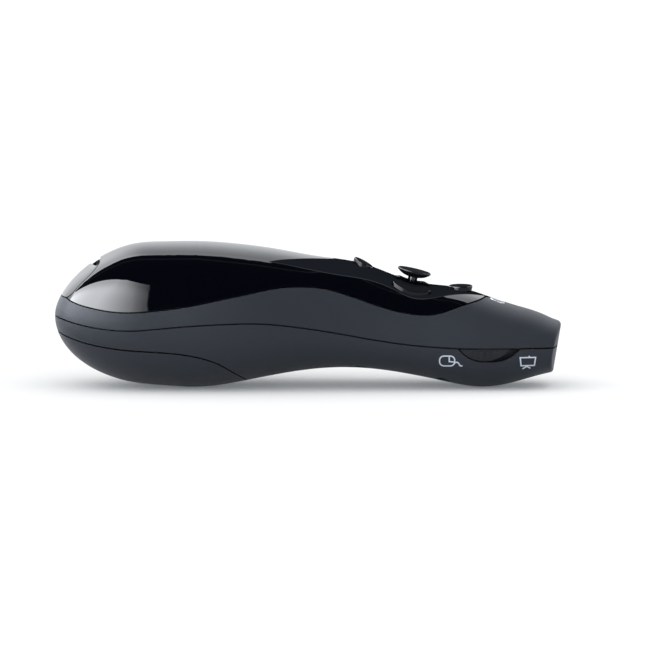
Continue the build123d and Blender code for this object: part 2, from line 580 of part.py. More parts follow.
# ---- Control panel and keys ------------------------------------------------------------------------
with BuildPart() as control_panel:
    add(shell.part)
    add(panel_block(0), mode=Mode.INTERSECT)
    with BuildSketch(key_board_plane):
        with Locations(*both_sides(PANEL_SCREWS)):
            Circle(PANEL_BOSS_RADIUS)
    extrude(amount=KEY_BOARD_DEPTH - PANEL_BOSS_TOP)
    with BuildSketch(key_board_plane):
        with Locations(*both_sides(PANEL_SCREWS)):
            Circle(PANEL_SCREW_RADIUS)
    extrude(amount=PANEL_SCREW_LENGTH, mode=Mode.SUBTRACT)
    with BuildSketch(control.offset(-WELL_DEPTH)):
        Circle(well_radius)
    extrude(amount=FAR, mode=Mode.SUBTRACT)
    with BuildSketch(control.offset(-WELL_DEPTH)):
        Circle(well_radius + WELL_JOIN)
    extrude(amount=-WELL_WALL)
    for outline in key_outlines(KEY_GAP):
        extrude(outline, amount=KEY_BOARD_DEPTH, both=True, mode=Mode.SUBTRACT)
    with BuildSketch(control):
        Circle(STEM_RADIUS + (PIVOT_DEPTH - WELL_DEPTH) * tan(radians(STICK_TILT)) + STEM_CLEARANCE)
    extrude(amount=KEY_BOARD_DEPTH, both=True, mode=Mode.SUBTRACT)
finish(control_panel, "control_panel")


def post(place, level):
    """Add a key's post, from a level under the panel down into its switch."""
    with BuildSketch(control.offset(level)) as foot:
        with Locations(place):
            Circle(POST_RADIUS)
    extrude(foot.sketch, amount=switch_top - POST_ENTRY - level)


with BuildPart() as rear_key:
    extrude(oval(rear_key_place, REAR_KEY_LENGTH, REAR_KEY_WIDTH, 0), amount=KEY_BOARD_DEPTH)
    split(bisect_by=rear_crown, keep=Keep.BOTTOM)
    fillet(rear_key.faces().sort_by(Axis(rear_crown.origin, rear_crown.z_dir))[-1].edges(), KEY_EDGE)
    with Locations(rear_crown.offset(DISH_RADIUS - DISH_DEPTH)):
        Sphere(DISH_RADIUS, mode=Mode.SUBTRACT)
    extrude(oval(rear_key_place, REAR_KEY_LENGTH, REAR_KEY_WIDTH, 0), amount=-REAR_KEY_FLANGE)
    extrude(oval(rear_key_place, REAR_KEY_LENGTH, REAR_KEY_WIDTH, FLANGE, -REAR_KEY_FLANGE),
            amount=-FLANGE_WALL)
    post((rear_key_place, 0), -REAR_KEY_FLANGE)
finish(rear_key, "rear_key")

with BuildPart() as front_key:
    extrude(oval(front_key_place, FRONT_KEY_LENGTH, FRONT_KEY_WIDTH, 0), amount=KEY_BOARD_DEPTH)
    split(bisect_by=front_crown, keep=Keep.BOTTOM)
    fillet(front_key.faces().sort_by(Axis(front_crown.origin, front_crown.z_dir))[-1].edges(), KEY_EDGE)
    with Locations(front_crown.offset(DISH_RADIUS - DISH_DEPTH)):
        Sphere(DISH_RADIUS, mode=Mode.SUBTRACT)
    extrude(oval(front_key_place, FRONT_KEY_LENGTH, FRONT_KEY_WIDTH, 0), amount=-FRONT_KEY_FLANGE)
    extrude(oval(front_key_place, FRONT_KEY_LENGTH, FRONT_KEY_WIDTH, FLANGE, -FRONT_KEY_FLANGE),
            amount=-FLANGE_WALL)
    post((front_key_place, 0), -FRONT_KEY_FLANGE)
finish(front_key, "front_key")

with BuildPart() as right_key:
    extrude(crescent(-1, SIDE_KEY_INNER, SIDE_KEY_OUTER, 0, -SIDE_KEY_FLANGE), amount=KEY_BOARD_DEPTH)
    add(body_form(-SIDE_KEY_RISE), mode=Mode.INTERSECT)
    fillet(right_key.faces().sort_by(Axis(control.origin, control.z_dir))[-1].edges(), SIDE_KEY_BEVEL)
    extrude(crescent(-1, SIDE_KEY_INNER - FLANGE, SIDE_KEY_OUTER - FLANGE, 0, -SIDE_KEY_FLANGE),
            amount=-FLANGE_WALL)
    post((0, -SIDE_POST_RADIUS), -SIDE_KEY_FLANGE)
finish(right_key, "right_key")

with BuildPart() as left_key:
    add(right_key.part)
    mirror(about=Plane.XZ, mode=Mode.REPLACE)
finish(left_key, "left_key")

# ---- Mouse stick: a stem on a two-axis gimbal, under a mushroom cap --------------------------------
stick_axis = Axis(control.origin, control.z_dir)

with BuildPart() as stick_stem:
    with BuildSketch(pivot):
        Circle(STEM_RADIUS)
    extrude(amount=PIVOT_DEPTH + CAP_TOP - CAP_SOCKET_ROOF)
    with Locations(pivot):
        Sphere(HUB_RADIUS)
    with BuildSketch(Plane(pivot.origin, x_dir=(0, 1, 0), z_dir=control.x_dir)):
        Circle(PIN_RADIUS)
    extrude(amount=GIMBAL_OUTER - PIN_CLEARANCE, both=True)
finish(stick_stem, "stick_stem")

with BuildPart() as stick_cap:
    with BuildSketch(Plane(control.origin, x_dir=control.x_dir, z_dir=(0, -1, 0))):
        with BuildLine():
            dish = ThreePointArc((0, CAP_TOP - CAP_DISH), (CAP_RADIUS / 2, CAP_TOP - 0.8 * CAP_DISH),
                                 (CAP_RADIUS - CAP_EDGE, CAP_TOP))
            rim = ThreePointArc(dish @ 1, (CAP_RADIUS, CAP_TOP - CAP_RIM / 2),
                                (CAP_RADIUS - CAP_EDGE / 2, CAP_TOP - CAP_RIM))
            bowl = ThreePointArc(rim @ 1, (0.72 * CAP_RADIUS, CAP_TOP - CAP_RIM - 0.6 * CAP_BOWL),
                                 (STEM_RADIUS + CAP_COLLAR, CAP_TOP - CAP_RIM - CAP_BOWL))
            Polyline(bowl @ 1, (0, CAP_TOP - CAP_RIM - CAP_BOWL), dish @ 0)
        make_face()
    revolve(axis=stick_axis)
    add(stick_stem.part, mode=Mode.SUBTRACT)
finish(stick_cap, "stick_cap")

with BuildPart() as gimbal_ring:
    with BuildSketch(pivot.offset(-GIMBAL_WALL / 2)):
        Circle(GIMBAL_OUTER)
        Circle(GIMBAL_INNER, mode=Mode.SUBTRACT)
    extrude(amount=GIMBAL_WALL)
    with BuildSketch(Plane(pivot.origin, x_dir=(0, 1, 0), z_dir=control.x_dir)):
        Circle(PIN_RADIUS + PIN_CLEARANCE)
    extrude(amount=BASE_OUTER, both=True, mode=Mode.SUBTRACT)
    with BuildSketch(Plane.XZ.offset(GIMBAL_INNER + LIP_WALL / 2)):
        with Locations((pivot.origin.X, pivot.origin.Z)):
            Circle(PIN_RADIUS)
    extrude(amount=BASE_OUTER - GIMBAL_INNER - LIP_WALL / 2)
    mirror(about=Plane.XZ)
finish(gimbal_ring, "gimbal_ring")

with BuildPart() as stick_base:
    with BuildSketch(key_board_plane):
        Circle(BASE_OUTER)
        Circle(BASE_INNER, mode=Mode.SUBTRACT)
    extrude(amount=BASE_HEIGHT)
    with BuildSketch(Plane.XZ):
        with Locations((pivot.origin.X, pivot.origin.Z)):
            Circle(PIN_RADIUS + PIN_CLEARANCE)
    extrude(amount=FAR, both=True, mode=Mode.SUBTRACT)
finish(stick_base, "stick_base")

# ---- Key board, under the panel --------------------------------------------------------------------
with BuildPart() as key_board:
    with BuildSketch(key_board_plane):
        with Locations(((KEY_BOARD_REAR + KEY_BOARD_FRONT) / 2, 0)):
            RectangleRounded(KEY_BOARD_FRONT - KEY_BOARD_REAR, 2 * KEY_BOARD_HALF, BOARD_CORNER)
        with Locations(*both_sides(PANEL_SCREWS)):
            Circle(PANEL_SCREW_RADIUS, mode=Mode.SUBTRACT)
    extrude(amount=-KEY_BOARD_WALL)
finish(key_board, "key_board")

with BuildPart() as key_switches:
    with BuildSketch(key_board_plane):
        with Locations(*switch_places):
            RectangleRounded(SWITCH_SIDE, SWITCH_SIDE, SWITCH_CORNER)
    extrude(amount=SWITCH_HEIGHT)
    with BuildSketch(control.offset(switch_top)):
        with Locations(*switch_places):
            Circle(POST_RADIUS + SWITCH_CLEARANCE)
    extrude(amount=-SWITCH_BORE_DEPTH, mode=Mode.SUBTRACT)
finish(key_switches, "key_switches")

with BuildPart() as panel_screws:
    with BuildSketch(key_board_plane.offset(-KEY_BOARD_WALL)):
        with Locations(*both_sides(PANEL_SCREWS)):
            Circle(PANEL_SCREW_RADIUS)
    extrude(amount=KEY_BOARD_WALL + PANEL_SCREW_LENGTH)
    with BuildSketch(key_board_plane.offset(-KEY_BOARD_WALL)):
        with Locations(*both_sides(PANEL_SCREWS)):
            Circle(PANEL_SCREW_HEAD_RADIUS)
    extrude(amount=-PANEL_SCREW_HEAD)
finish(panel_screws, "panel_screws")

# ---- Main board --------------------------------------------------------------------------------------
with BuildPart() as main_board:
    with BuildSketch(Plane.XY.offset(BOARD_Z)):
        with Locations(((BOARD_REAR + BOARD_FRONT) / 2, 0)):
            RectangleRounded(BOARD_FRONT - BOARD_REAR, 2 * BOARD_HALF, BOARD_CORNER)
        with Locations(*both_sides(FRONT_SCREWS)):
            Circle(SCREW_RADIUS, mode=Mode.SUBTRACT)
    extrude(amount=BOARD_WALL)
finish(main_board, "main_board")


def chip(x, y, length, width, height, corner):
    """Add a board component's block on the main board."""
    with BuildSketch(Plane.XY.offset(BOARD_Z + BOARD_WALL)) as footprint:
        with Locations((x, y)):
            RectangleRounded(length, width, corner)
    extrude(footprint.sketch, amount=height)


with BuildPart() as controller_chip:
    chip(*CONTROLLER)
finish(controller_chip, "controller_chip")

with BuildPart() as radio_can:
    chip(*RADIO)
finish(radio_can, "radio_can")

with BuildPart() as indicator_led:
    chip(*LED)
finish(indicator_led, "indicator_led")

with BuildPart() as ribbon_cable:
    under_keys = key_board_plane.offset(-KEY_BOARD_WALL - RIBBON_WALL / 2)
    ribbon_top = under_keys.from_local_coords((KEY_BOARD_REAR + RIBBON_GRIP, 0, 0))
    ribbon_bend = under_keys.from_local_coords((KEY_BOARD_REAR - RIBBON_BEND, 0, 0))
    ribbon_foot = BOARD_Z + BOARD_WALL + RIBBON_WALL / 2
    with BuildSketch(Plane.XZ):
        with BuildLine():
            lead = FilletPolyline((ribbon_top.X, ribbon_top.Z), (ribbon_bend.X, ribbon_bend.Z),
                                  (ribbon_bend.X, ribbon_foot),
                                  (ribbon_bend.X + RIBBON_REACH + RIBBON_BEND, ribbon_foot),
                                  radius=RIBBON_BEND)
            offset(lead, amount=RIBBON_WALL / 2, side=Side.BOTH)
        make_face()
    extrude(amount=RIBBON_HALF, both=True)
finish(ribbon_cable, "ribbon_cable")

with BuildPart() as slide_switch:
    with BuildSketch(Plane.XY.offset(BOARD_Z)):
        with Locations((slider_middle + SLIDER_TRAVEL / 2, SLIDE_SWITCH_FACE_Y)):
            Rectangle(SLIDE_SWITCH_LENGTH, SLIDE_SWITCH_WIDTH, align=(Align.CENTER, Align.MIN))
    extrude(amount=-SLIDE_SWITCH_HEIGHT)
    with BuildSketch(Plane.XZ.offset(-SLIDE_SWITCH_FACE_Y)):
        with Locations((slider_middle + SLIDER_TRAVEL / 2, SLIDER_PEG_Z)):
            Rectangle(SLIDER_TRAVEL + SLIDER_PEG + 2 * DETENT_GAP, SLIDER_PEG + 2 * DETENT_GAP)
    extrude(amount=-SLIDER_PEG_DEPTH - DETENT_GAP, mode=Mode.SUBTRACT)
finish(slide_switch, "slide_switch")

with BuildPart() as switch_domes:
    bore_floor = control.offset(switch_top - SWITCH_BORE_DEPTH)
    with Locations(*[bore_floor * Location((x, y, 0)) for x, y in switch_places]):
        Cylinder(DOME_RADIUS, DOME_RISE / 2, align=(Align.CENTER, Align.CENTER, Align.MIN))
        with Locations((0, 0, DOME_RISE / 2)):
            Cylinder(DOME_RADIUS / 2, DOME_RISE / 2, align=(Align.CENTER, Align.CENTER, Align.MIN))
finish(switch_domes, "switch_domes")

# ---- Mode slider -------------------------------------------------------------------------------------
with BuildPart() as slider_ribs:
    with BuildSketch(slider_back):
        with Locations((slider_middle, SLIDER_Z - SLIDER_DEPTH / 2)):
            with GridLocations(SLIDER_PITCH, 1, SLIDER_RIBS, 1):
                Rectangle(SLIDER_RIB, SLIDER_DEPTH)
    extrude(amount=FAR)
    extrude(segment(0, -SLIDER_FACE), amount=FAR, mode=Mode.INTERSECT)
    add(outer, mode=Mode.INTERSECT)

with BuildPart() as slider_runner:
    with BuildSketch(slider_back):
        with Locations((slider_middle + SLIDER_TRAVEL / 2, SLIDER_Z - SLIDER_GAP)):
            Rectangle(SLIDER_CHORD + SLIDER_TRAVEL + 2 * SLIDER_HOLD, SLIDER_DEPTH + SLIDER_HOLD,
                      align=(Align.CENTER, Align.MAX))
    extrude(amount=FAR)
    add(body_form(WALL + SLIDER_RUN), mode=Mode.INTERSECT)

with BuildPart() as mode_slider:
    extrude(segment(0, 0), amount=FAR)
    add(body_form(SLIDER_FACE), mode=Mode.INTERSECT)
    add(slider_ribs.part)
    add(slider_runner.part)
    with BuildSketch(slider_back):
        with Locations((slider_middle, SLIDER_PEG_Z)):
            Rectangle(SLIDER_PEG, SLIDER_PEG)
    extrude(amount=SLIDER_BACK_Y - SLIDE_SWITCH_FACE_Y - SLIDER_PEG_DEPTH)
finish(mode_slider, "mode_slider")

# ---- Battery cells and their tray --------------------------------------------------------------------
near_end = BAY_REAR + CONTACT_WALL
far_end = near_end + SPRING_LENGTH + CELL_LENGTH


def at_cell(x, side):
    """A plane across the battery bay at x, centred on the cell of one side."""
    return Plane((x, side * CELL_Y, CELL_Z), x_dir=(0, 1, 0), z_dir=(1, 0, 0))


with BuildPart() as battery_cells:
    right_cell = (-1, near_end + SPRING_LENGTH, far_end - CELL_NUB)
    left_cell = (1, near_end + CELL_NUB, near_end)
    for side, start, nub_start in (right_cell, left_cell):
        with BuildSketch(at_cell(start, side)):
            Circle(CELL_RADIUS)
        extrude(amount=CELL_LENGTH - CELL_NUB)
        with BuildSketch(at_cell(nub_start, side)):
            Circle(CELL_NUB_RADIUS)
        extrude(amount=CELL_NUB)
finish(battery_cells, "battery_cells")

spring_rise = SPRING_LENGTH - 2 * SPRING_WIRE
with BuildPart() as battery_springs:
    for side, start in [(-1, near_end), (1, far_end - SPRING_LENGTH)]:
        with BuildLine():
            coil = Helix(spring_rise / SPRING_TURNS, spring_rise, SPRING_RADIUS,
                         center=(start + SPRING_WIRE, side * CELL_Y, CELL_Z), direction=(1, 0, 0))
        with BuildSketch(Plane(coil @ 0, z_dir=coil % 0)):
            Circle(SPRING_WIRE)
        sweep(path=coil, is_frenet=True)
finish(battery_springs, "battery_springs")

with BuildPart() as contact_bridge:
    with BuildSketch(Plane.YZ.offset(BAY_REAR)):
        with Locations((0, CELL_Z)):
            Rectangle(2 * (CELL_Y + CONTACT_HALF), 2 * CONTACT_HALF)
    extrude(amount=CONTACT_WALL)
finish(contact_bridge, "contact_bridge")

with BuildPart() as contact_plates:
    with BuildSketch(Plane.YZ.offset(far_end)):
        with Locations((-CELL_Y, CELL_Z), (CELL_Y, CELL_Z)):
            Rectangle(2 * CONTACT_HALF, 2 * CONTACT_HALF)
    extrude(amount=CONTACT_WALL)
finish(contact_plates, "contact_plates")

with BuildPart() as battery_tray:
    tray_rear = BAY_REAR - TRAY_WALL
    tray_front = far_end + CONTACT_WALL + TRAY_WALL
    with BuildSketch(Plane.XY.offset(TRAY_BOTTOM)):
        with Locations(((tray_rear + tray_front) / 2, 0)):
            Rectangle(tray_front - tray_rear, 2 * TRAY_HALF)
    extrude(amount=RAIL_DECK_Z - TRAY_BOTTOM)
    with BuildSketch(Plane.XY.offset(TRAY_BOTTOM)):
        with Locations(((tray_rear + tray_front) / 2, 0)):
            Rectangle(tray_front - tray_rear - 2 * TRAY_WALL, 2 * (TRAY_HALF - TRAY_WALL))
    extrude(amount=RAIL_DECK_Z - TRAY_BOTTOM - TRAY_WALL, mode=Mode.SUBTRACT)
    with BuildSketch(Plane.XY.offset(REAR_BOSS_Z - LIP_RISE)):
        with Locations(*both_sides([(x, TRAY_HALF + TRAY_FOOT / 2) for x in TRAY_RIBS])):
            Rectangle(TRAY_FOOT, TRAY_FOOT)
    extrude(amount=TRAY_FOOT)
    add(liner, mode=Mode.INTERSECT)
finish(battery_tray, "battery_tray")

# ---- Stowed USB receiver and its cradle --------------------------------------------------------------
case_middle = (RECEIVER_FLOOR + CASE_TOP) / 2
plug_root = CASE_FRONT - PLUG_ROOT
plug_end = CASE_FRONT + PLUG_LENGTH
plug_bore = (PLUG_WIDTH - 2 * PLUG_WALL, PLUG_HEIGHT - 2 * PLUG_WALL)
tongue_base = case_middle + PLUG_HEIGHT / 2 - PLUG_WALL - TONGUE_WALL


def across(x, z, width, height):
    """A rectangle's sketch across the body at x, centred on height z."""
    with BuildSketch(Plane.YZ.offset(x)) as section:
        with Locations((0, z)):
            Rectangle(width, height)
    return section.sketch


with BuildPart() as receiver_cap:
    add(cap_block(0))
    add(hull.part, mode=Mode.INTERSECT)
    add(nail_notch.part, mode=Mode.SUBTRACT)
    # the notch cuts a crumb loose at the cap's front rim: only the cap itself is kept
    add(receiver_cap.solids().sort_by(SortBy.VOLUME)[-1], mode=Mode.REPLACE)
finish(receiver_cap, "receiver_cap")

with BuildPart() as receiver_case:
    with BuildSketch(Plane.YZ.offset(CAP_FRONT)):
        with Locations((0, case_middle)):
            RectangleRounded(2 * CASE_HALF, CASE_TOP - RECEIVER_FLOOR, CASE_EDGE)
    extrude(amount=CASE_FRONT - CAP_FRONT)
    extrude(across(CAP_FRONT, case_middle, 2 * (CASE_HALF - CASE_WALL),
                   CASE_TOP - RECEIVER_FLOOR - 2 * CASE_WALL),
            amount=CASE_FRONT - CAP_FRONT - CASE_WALL, mode=Mode.SUBTRACT)
    extrude(across(CAP_FRONT, case_middle, PLUG_WIDTH, PLUG_HEIGHT), amount=FAR, mode=Mode.SUBTRACT)
finish(receiver_case, "receiver_case")

with BuildPart() as plug_shell:
    extrude(across(plug_root, case_middle, PLUG_WIDTH, PLUG_HEIGHT), amount=plug_end - plug_root)
    extrude(across(plug_root, case_middle, *plug_bore), amount=FAR, mode=Mode.SUBTRACT)
finish(plug_shell, "plug_shell")

with BuildPart() as plug_tongue:
    extrude(across(plug_root, tongue_base + TONGUE_WALL / 2, plug_bore[0], TONGUE_WALL),
            amount=plug_end - STRIP_END - plug_root)
finish(plug_tongue, "plug_tongue")

with BuildPart() as plug_contacts:
    with BuildSketch(Plane.XY.offset(tongue_base)):
        with Locations(((CASE_FRONT + plug_end) / 2 - STRIP_END, 0)):
            with GridLocations(1, STRIP_PITCH, 1, 4):
                Rectangle(PLUG_LENGTH - 2 * STRIP_END, STRIP_WIDTH)
    extrude(amount=-STRIP_WALL)
finish(plug_contacts, "plug_contacts")

with BuildPart() as receiver_board:
    extrude(across(CAP_FRONT + RECEIVER_GAP, tongue_base + RECEIVER_BOARD_WALL / 2, 2 * RECEIVER_BOARD_HALF,
                   RECEIVER_BOARD_WALL), amount=plug_root - CAP_FRONT - RECEIVER_GAP)
finish(receiver_board, "receiver_board")

with BuildPart() as receiver_chip:
    with BuildSketch(Plane.XY.offset(tongue_base)):
        with Locations(((CAP_FRONT + CASE_FRONT) / 2, 0)):
            Rectangle(RECEIVER_CHIP, RECEIVER_CHIP)
    extrude(amount=-RECEIVER_CHIP_WALL)
finish(receiver_chip, "receiver_chip")

with BuildPart() as receiver_cradle:
    deck_top = RAIL_DECK_Z + DECK_WALL
    floor_top = RECEIVER_FLOOR - RECEIVER_GAP
    cradle_front = plug_end + CRADLE_FRONT_GAP
    extrude(across(CRADLE_REAR, (deck_top + CRADLE_TOP) / 2, 2 * CRADLE_HALF, CRADLE_TOP - deck_top),
            amount=cradle_front + CRADLE_WALL - CRADLE_REAR)
    extrude(across(CRADLE_REAR, (floor_top + FAR) / 2, 2 * (CRADLE_HALF - CRADLE_WALL), FAR - floor_top),
            amount=cradle_front - CRADLE_REAR, mode=Mode.SUBTRACT)
    extrude(across(CRADLE_REAR, (deck_top + floor_top - CRADLE_WALL) / 2, 2 * (CRADLE_HALF - CRADLE_WALL),
                   floor_top - CRADLE_WALL - deck_top), amount=FAR, mode=Mode.SUBTRACT)
finish(receiver_cradle, "receiver_cradle")

# ---- Laser -------------------------------------------------------------------------------------------
def laser_plane(x):
    """A plane across the laser's axis at x."""
    return Plane((x, 0, LASER_Z), x_dir=(0, 1, 0), z_dir=(1, 0, 0))


with BuildPart() as laser_barrel:
    with BuildSketch(laser_plane(LASER_REAR)):
        Circle(LASER_RADIUS)
        Circle(LASER_BORE, mode=Mode.SUBTRACT)
    extrude(amount=LASER_FRONT - LASER_REAR)
finish(laser_barrel, "laser_barrel")

with BuildPart() as laser_diode:
    with BuildSketch(laser_plane(LASER_REAR)):
        Circle(LASER_BORE)
    extrude(amount=DIODE_FLANGE)
    with BuildSketch(laser_plane(LASER_REAR)):
        Circle(DIODE_RADIUS)
    extrude(amount=DIODE_LENGTH)
    with BuildSketch(laser_plane(LASER_REAR)):
        with PolarLocations(DIODE_PIN_RING, DIODE_PINS):
            Circle(DIODE_PIN)
    extrude(amount=-DIODE_PIN_LENGTH)
finish(laser_diode, "laser_diode")

with BuildPart() as laser_lens:
    lens_arc = (LENS_BULGE ** 2 - LASER_BORE ** 2) ** 0.5 - LENS_EDGE
    with BuildSketch(Plane.XZ):
        with Locations((LENS_X, LASER_Z)):
            Rectangle(2 * LASER_BORE, LASER_BORE, align=(Align.CENTER, Align.MIN))
        for way in (-1, 1):
            with Locations((LENS_X + way * lens_arc, LASER_Z)):
                Circle(LENS_BULGE, mode=Mode.INTERSECT)
    revolve(axis=Axis((0, 0, LASER_Z), (1, 0, 0)))
finish(laser_lens, "laser_lens")

with BuildPart() as nose_bezel:
    with BuildSketch(laser_plane(LASER_FRONT)):
        Circle(APERTURE_RADIUS + BEZEL_WALL)
        Circle(APERTURE_RADIUS, mode=Mode.SUBTRACT)
    extrude(amount=FAR)
    add(hull.part, mode=Mode.INTERSECT)
finish(nose_bezel, "nose_bezel")

with BuildPart() as nose_window:
    with BuildSketch(laser_plane(NOSE_X - NOSE_EDGE - 2 * WINDOW_WALL)):
        Circle(APERTURE_RADIUS)
    extrude(amount=WINDOW_WALL)
finish(nose_window, "nose_window")

# ---- Indicator lens and housing screws ---------------------------------------------------------------
with BuildPart() as indicator_lens:
    with BuildSketch(Plane.XY.offset(LASER_Z)):
        with Locations((LAMP_X, 0)):
            Ellipse(LAMP_LENGTH / 2, LAMP_WIDTH / 2)
    extrude(amount=FAR)
    add(shell.part, mode=Mode.INTERSECT)
    fillet(indicator_lens.faces().sort_by(Axis.Z)[-1].edges(), LAMP_EDGE)
    with BuildSketch(Plane.XY.offset(BOARD_Z + BOARD_WALL + LED[4] + LIGHT_PIPE_GAP)):
        with Locations((LAMP_X, 0)):
            Circle(LIGHT_PIPE_RADIUS)
    extrude(until=Until.NEXT)
finish(indicator_lens, "indicator_lens")

with BuildPart() as housing_screws:
    for places, seat in [(FRONT_SCREWS, FRONT_SEAT_Z), ([REAR_SCREW], REAR_SEAT_Z)]:
        with BuildSketch(Plane.XY.offset(seat)):
            with Locations(*both_sides(places)):
                Circle(SCREW_RADIUS)
        extrude(amount=SCREW_LENGTH)
        with BuildSketch(Plane.XY.offset(seat)):
            with Locations(*both_sides(places)):
                Circle(SCREW_HEAD_RADIUS)
        extrude(amount=-SCREW_HEAD)
finish(housing_screws, "housing_screws")
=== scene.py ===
"""Looks of the wireless presentation clicker: its finishes, printed symbols, studio and camera."""
import json
import math

import bmesh
import bpy
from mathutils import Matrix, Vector
from mathutils.bvhtree import BVHTree


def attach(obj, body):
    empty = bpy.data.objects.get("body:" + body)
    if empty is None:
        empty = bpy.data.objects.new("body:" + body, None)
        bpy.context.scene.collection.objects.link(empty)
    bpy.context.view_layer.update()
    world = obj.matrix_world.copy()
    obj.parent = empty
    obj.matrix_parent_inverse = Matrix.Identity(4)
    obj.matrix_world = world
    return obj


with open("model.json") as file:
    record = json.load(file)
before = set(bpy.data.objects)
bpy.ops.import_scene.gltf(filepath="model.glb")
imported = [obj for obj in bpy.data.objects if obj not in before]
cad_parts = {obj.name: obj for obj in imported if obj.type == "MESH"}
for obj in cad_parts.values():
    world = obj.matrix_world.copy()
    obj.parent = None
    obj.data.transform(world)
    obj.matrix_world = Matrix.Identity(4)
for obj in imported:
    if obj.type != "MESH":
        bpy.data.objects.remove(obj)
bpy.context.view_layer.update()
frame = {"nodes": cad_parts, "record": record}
MM = 0.001


# ---- Node sheets ------------------------------------------------------------------------------------
class Value:
    """A number or vector that varies over a surface, with arithmetic."""

    def __init__(self, sheet, socket):
        self.sheet = sheet
        self.socket = socket

    def maths(self, operation, *others):
        return self.sheet.add("ShaderNodeMath", {"operation": operation}, dict(enumerate((self,) + others)))

    def __add__(self, other): return self.maths("ADD", other)
    def __sub__(self, other): return self.maths("SUBTRACT", other)
    def __mul__(self, other): return self.maths("MULTIPLY", other)
    def __truediv__(self, other): return self.maths("DIVIDE", other)
    def __radd__(self, other): return self.maths("ADD", other)
    def __rmul__(self, other): return self.maths("MULTIPLY", other)
    def __rsub__(self, other): return self.maths("MULTIPLY_ADD", -1.0, other)
    def least(self, other): return self.maths("MINIMUM", other)
    def most(self, other): return self.maths("MAXIMUM", other)

    def step(self, low, high, first=0.0, last=1.0):
        """Runs smoothly from first to last while this value goes from low to high."""
        span = {"Value": self, "From Min": low, "From Max": high, "To Min": first, "To Max": last}
        return self.sheet.add("ShaderNodeMapRange", {"interpolation_type": "SMOOTHSTEP"}, span)


class Sheet:
    """The node tree of one finish, or of the room."""

    def __init__(self, tree):
        self.tree = tree
        tree.nodes.clear()

    def add(self, kind, settings=None, inputs=None, output=0):
        """Adds a node of a kind, sets its settings, then fills its sockets, and returns one output."""
        node = self.tree.nodes.new(kind)
        for name, setting in (settings or {}).items():
            setattr(node, name, setting)
        for name, given in (inputs or {}).items():
            if isinstance(given, Value):
                self.tree.links.new(given.socket, node.inputs[name])
            else:
                node.inputs[name].default_value = given
        return Value(self, node.outputs[output])

    def parts(self, vector):
        """The x, y and z of a vector."""
        first = self.add("ShaderNodeSeparateXYZ", inputs={"Vector": vector})
        return [Value(self, socket) for socket in first.socket.node.outputs]

    def place(self):
        """Where a point lies on its own piece, in metres."""
        return self.add("ShaderNodeTexCoord", output="Object")

    def facing(self):
        """The way a point's surface faces on its own piece."""
        return self.add("ShaderNodeTexCoord", output="Normal")

    def noise(self, scale, detail=3.0, roughness=0.5):
        """Cloudy variation from 0 to 1; scale is in cells for each metre."""
        return self.add("ShaderNodeTexNoise", inputs={"Vector": self.place(), "Scale": scale, "Detail": detail,
                                                      "Roughness": roughness}, output="Fac")

    def towards(self, axis):
        """How far the surface faces along an axis: 1 when it faces that way, 0 square to it."""
        return self.add("ShaderNodeVectorMath", {"operation": "DOT_PRODUCT"}, {0: self.facing(), 1: axis},
                        output="Value")

    def tint(self, mask, first, second):
        """A colour that goes from first to second with the mask."""
        return self.add("ShaderNodeMix", {"data_type": "RGBA"},
                        {"Factor": mask, 6: rgba(first), 7: rgba(second)}, output=2)

    def bump(self, height, depth, strength):
        """A surface normal pushed about by a height from 0 to 1, over a depth in metres."""
        return self.add("ShaderNodeBump", inputs={"Height": height, "Distance": depth, "Strength": strength})


def rgba(colour):
    return colour if isinstance(colour, Value) else (*colour, 1.0)


def finish(name, **given):
    """Starts a finish; given holds the shader's plain settings, with _ for a space."""
    material = bpy.data.materials.new(name)
    material.use_nodes = True
    sheet = Sheet(material.node_tree)
    shader = sheet.add("ShaderNodeBsdfPrincipled").socket.node
    out = sheet.tree.nodes.new("ShaderNodeOutputMaterial")
    sheet.tree.links.new(shader.outputs["BSDF"], out.inputs["Surface"])

    def apply(**sockets):
        for key, setting in sockets.items():
            socket = shader.inputs[key.replace("_", " ")]
            if isinstance(setting, Value):
                sheet.tree.links.new(setting.socket, socket)
            elif isinstance(setting, tuple):
                socket.default_value = rgba(setting)
            else:
                socket.default_value = setting

    apply(**given)
    return material, sheet, apply


# ---- Finishes ---------------------------------------------------------------------------------------
STICK_SLOPE, REAR_KEY_SLOPE, FRONT_KEY_SLOPE, LAMP_SLOPE = 13.0, 29.0, 0.0, 21.0  # degrees down to the nose
CLOUD_SPAN = (0.3, 0.7)  # the span of a noise that holds nearly all of its values
ETCHING = 5200.0  # cells for each metre in the grain of an etched moulding
NEAR_ZERO = 0.001  # keeps a divisor off zero


def lean(angle):
    """Straight up, leaned towards the nose by an angle in degrees."""
    return (math.sin(math.radians(angle)), 0.0, math.cos(math.radians(angle)))


def gloss_black():
    """Piano-black moulding: deep, barely blue, with a trace of orange peel and of wiping."""
    material, sheet, apply = finish("gloss_black", IOR=1.5)
    smear = sheet.noise(55.0, 4.0, 0.55)
    apply(Base_Color=sheet.tint(smear, (0.0002, 0.0005, 0.0022), (0.0005, 0.0009, 0.0032)),
          Roughness=smear.step(0.35, 0.8, 0.02, 0.05),
          Normal=sheet.bump(sheet.noise(420.0, 1.0), 0.004 * MM, 0.5))
    return material


